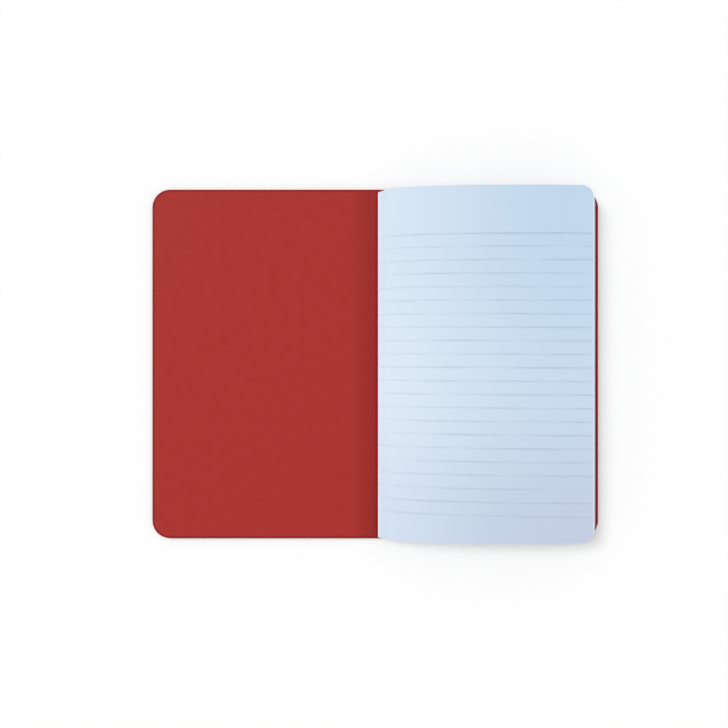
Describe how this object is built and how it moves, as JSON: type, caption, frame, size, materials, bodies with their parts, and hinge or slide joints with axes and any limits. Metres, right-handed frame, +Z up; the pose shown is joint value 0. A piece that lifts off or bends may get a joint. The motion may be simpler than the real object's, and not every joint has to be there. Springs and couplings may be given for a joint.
{
  "type": "pocket notebook",
  "caption": "Thin stitched pocket notebook with a red card cover and faintly ruled leaves, lying open at its first page; the cover closes and the leaves turn.",
  "frame": {"origin": "on the table under the middle of the open notebook, halfway between the two covers' outer edges", "axes": "+X from the spine to the fore edge of the back cover, +Y to the head of the page, +Z up from the table"},
  "size_m": [0.179, 0.14, 0.0088],
  "materials": {
    "red_card": "smooth matt card",
    "white_paper": "uncoated white paper",
    "white_thread": "waxed cotton thread"
  },
  "bodies": {
    "back_assembly": {"back_cover": "red_card", "sheet_fold_01": "white_paper", "sheet_fold_02": "white_paper", "sheet_fold_03": "white_paper", "sheet_fold_04": "white_paper", "sheet_fold_05": "white_paper", "sheet_fold_06": "white_paper", "sheet_fold_07": "white_paper", "sheet_fold_08": "white_paper", "sheet_fold_09": "white_paper", "sheet_fold_10": "white_paper", "sheet_fold_11": "white_paper", "sheet_fold_12": "white_paper", "binding_thread": "white_thread"},
    "spine_panel": {"cover_spine": "red_card"},
    "front_panel": {"front_cover": "red_card"},
    "leaf_01_body": {"leaf_01": "white_paper"},
    "leaf_02_body": {"leaf_02": "white_paper"},
    "leaf_03_body": {"leaf_03": "white_paper"},
    "leaf_04_body": {"leaf_04": "white_paper"},
    "leaf_05_body": {"leaf_05": "white_paper"},
    "leaf_06_body": {"leaf_06": "white_paper"},
    "leaf_07_body": {"leaf_07": "white_paper"},
    "leaf_08_body": {"leaf_08": "white_paper"},
    "leaf_09_body": {"leaf_09": "white_paper"},
    "leaf_10_body": {"leaf_10": "white_paper"},
    "leaf_11_body": {"leaf_11": "white_paper"},
    "leaf_12_body": {"leaf_12": "white_paper"},
    "leaf_13_body": {"leaf_13": "white_paper"},
    "leaf_14_body": {"leaf_14": "white_paper"},
    "leaf_15_body": {"leaf_15": "white_paper"},
    "leaf_16_body": {"leaf_16": "white_paper"},
    "leaf_17_body": {"leaf_17": "white_paper"},
    "leaf_18_body": {"leaf_18": "white_paper"},
    "leaf_19_body": {"leaf_19": "white_paper"},
    "leaf_20_body": {"leaf_20": "white_paper"},
    "leaf_21_body": {"leaf_21": "white_paper"},
    "leaf_22_body": {"leaf_22": "white_paper"},
    "leaf_23_body": {"leaf_23": "white_paper"},
    "leaf_24_body": {"leaf_24": "white_paper"}
  },
  "joints": [
    {"name": "spine_fold", "type": "hinge", "parent": "back_assembly", "child": "spine_panel", "pos_m": [0.0007, 0, 0.0004], "axis": [0, 1, 0], "range_deg": [0, 86.5]},
    {"name": "front_cover_fold", "type": "hinge", "parent": "spine_panel", "child": "front_panel", "pos_m": [-0.0043, 0, 0.0004], "axis": [0, 1, 0], "range_deg": [0, 86.5]},
    {"name": "leaf_01_turn", "type": "hinge", "parent": "leaf_07_body", "child": "leaf_01_body", "pos_m": [0.00292, 0, 0.00247], "axis": [0, 1, 0], "range_deg": [-40.8, 0]},
    {"name": "leaf_02_turn", "type": "hinge", "parent": "leaf_07_body", "child": "leaf_02_body", "pos_m": [0.00292, 0, 0.00247], "axis": [0, 1, 0], "range_deg": [-34, 0]},
    {"name": "leaf_03_turn", "type": "hinge", "parent": "leaf_07_body", "child": "leaf_03_body", "pos_m": [0.00292, 0, 0.00247], "axis": [0, 1, 0], "range_deg": [-27.2, 0]},
    {"name": "leaf_04_turn", "type": "hinge", "parent": "leaf_07_body", "child": "leaf_04_body", "pos_m": [0.00292, 0, 0.00247], "axis": [0, 1, 0], "range_deg": [-20.4, 0]},
    {"name": "leaf_05_turn", "type": "hinge", "parent": "leaf_07_body", "child": "leaf_05_body", "pos_m": [0.00292, 0, 0.00247], "axis": [0, 1, 0], "range_deg": [-13.6, 0]},
    {"name": "leaf_06_turn", "type": "hinge", "parent": "leaf_07_body", "child": "leaf_06_body", "pos_m": [0.00292, 0, 0.00247], "axis": [0, 1, 0], "range_deg": [-6.8, 0]},
    {"name": "leaf_07_turn", "type": "hinge", "parent": "leaf_13_body", "child": "leaf_07_body", "pos_m": [0.00292, 0, 0.00247], "axis": [0, 1, 0], "range_deg": [-40.8, 0]},
    {"name": "leaf_08_turn", "type": "hinge", "parent": "leaf_13_body", "child": "leaf_08_body", "pos_m": [0.00292, 0, 0.00247], "axis": [0, 1, 0], "range_deg": [-34, 0]},
    {"name": "leaf_09_turn", "type": "hinge", "parent": "leaf_13_body", "child": "leaf_09_body", "pos_m": [0.00292, 0, 0.00247], "axis": [0, 1, 0], "range_deg": [-27.2, 0]},
    {"name": "leaf_10_turn", "type": "hinge", "parent": "leaf_13_body", "child": "leaf_10_body", "pos_m": [0.00292, 0, 0.00247], "axis": [0, 1, 0], "range_deg": [-20.4, 0]},
    {"name": "leaf_11_turn", "type": "hinge", "parent": "leaf_13_body", "child": "leaf_11_body", "pos_m": [0.00292, 0, 0.00247], "axis": [0, 1, 0], "range_deg": [-13.6, 0]},
    {"name": "leaf_12_turn", "type": "hinge", "parent": "leaf_13_body", "child": "leaf_12_body", "pos_m": [0.00292, 0, 0.00247], "axis": [0, 1, 0], "range_deg": [-6.8, 0]},
    {"name": "leaf_13_turn", "type": "hinge", "parent": "leaf_19_body", "child": "leaf_13_body", "pos_m": [0.00292, 0, 0.00247], "axis": [0, 1, 0], "range_deg": [-40.8, 0]},
    {"name": "leaf_14_turn", "type": "hinge", "parent": "leaf_19_body", "child": "leaf_14_body", "pos_m": [0.00292, 0, 0.00247], "axis": [0, 1, 0], "range_deg": [-34, 0]},
    {"name": "leaf_15_turn", "type": "hinge", "parent": "leaf_19_body", "child": "leaf_15_body", "pos_m": [0.00292, 0, 0.00247], "axis": [0, 1, 0], "range_deg": [-27.2, 0]},
    {"name": "leaf_16_turn", "type": "hinge", "parent": "leaf_19_body", "child": "leaf_16_body", "pos_m": [0.00292, 0, 0.00247], "axis": [0, 1, 0], "range_deg": [-20.4, 0]},
    {"name": "leaf_17_turn", "type": "hinge", "parent": "leaf_19_body", "child": "leaf_17_body", "pos_m": [0.00292, 0, 0.00247], "axis": [0, 1, 0], "range_deg": [-13.6, 0]},
    {"name": "leaf_18_turn", "type": "hinge", "parent": "leaf_19_body", "child": "leaf_18_body", "pos_m": [0.00292, 0, 0.00247], "axis": [0, 1, 0], "range_deg": [-6.8, 0]},
    {"name": "leaf_19_turn", "type": "hinge", "parent": "back_assembly", "child": "leaf_19_body", "pos_m": [0.00292, 0, 0.00247], "axis": [0, 1, 0], "range_deg": [-40.8, 0]},
    {"name": "leaf_20_turn", "type": "hinge", "parent": "back_assembly", "child": "leaf_20_body", "pos_m": [0.00292, 0, 0.00247], "axis": [0, 1, 0], "range_deg": [-34, 0]},
    {"name": "leaf_21_turn", "type": "hinge", "parent": "back_assembly", "child": "leaf_21_body", "pos_m": [0.00292, 0, 0.00247], "axis": [0, 1, 0], "range_deg": [-27.2, 0]},
    {"name": "leaf_22_turn", "type": "hinge", "parent": "back_assembly", "child": "leaf_22_body", "pos_m": [0.00292, 0, 0.00247], "axis": [0, 1, 0], "range_deg": [-20.4, 0]},
    {"name": "leaf_23_turn", "type": "hinge", "parent": "back_assembly", "child": "leaf_23_body", "pos_m": [0.00292, 0, 0.00247], "axis": [0, 1, 0], "range_deg": [-13.6, 0]},
    {"name": "leaf_24_turn", "type": "hinge", "parent": "back_assembly", "child": "leaf_24_body", "pos_m": [0.00292, 0, 0.00247], "axis": [0, 1, 0], "range_deg": [-6.8, 0]}
  ],
  "couplings": [
    {"joint": "leaf_02_turn", "follows": "leaf_01_turn", "ratio": 0.83333},
    {"joint": "leaf_03_turn", "follows": "leaf_01_turn", "ratio": 0.66667},
    {"joint": "leaf_04_turn", "follows": "leaf_01_turn", "ratio": 0.5},
    {"joint": "leaf_05_turn", "follows": "leaf_01_turn", "ratio": 0.33333},
    {"joint": "leaf_06_turn", "follows": "leaf_01_turn", "ratio": 0.16667},
    {"joint": "leaf_08_turn", "follows": "leaf_07_turn", "ratio": 0.83333},
    {"joint": "leaf_09_turn", "follows": "leaf_07_turn", "ratio": 0.66667},
    {"joint": "leaf_10_turn", "follows": "leaf_07_turn", "ratio": 0.5},
    {"joint": "leaf_11_turn", "follows": "leaf_07_turn", "ratio": 0.33333},
    {"joint": "leaf_12_turn", "follows": "leaf_07_turn", "ratio": 0.16667},
    {"joint": "leaf_14_turn", "follows": "leaf_13_turn", "ratio": 0.83333},
    {"joint": "leaf_15_turn", "follows": "leaf_13_turn", "ratio": 0.66667},
    {"joint": "leaf_16_turn", "follows": "leaf_13_turn", "ratio": 0.5},
    {"joint": "leaf_17_turn", "follows": "leaf_13_turn", "ratio": 0.33333},
    {"joint": "leaf_18_turn", "follows": "leaf_13_turn", "ratio": 0.16667},
    {"joint": "leaf_20_turn", "follows": "leaf_19_turn", "ratio": 0.83333},
    {"joint": "leaf_21_turn", "follows": "leaf_19_turn", "ratio": 0.66667},
    {"joint": "leaf_22_turn", "follows": "leaf_19_turn", "ratio": 0.5},
    {"joint": "leaf_23_turn", "follows": "leaf_19_turn", "ratio": 0.33333},
    {"joint": "leaf_24_turn", "follows": "leaf_19_turn", "ratio": 0.16667}
  ]
}
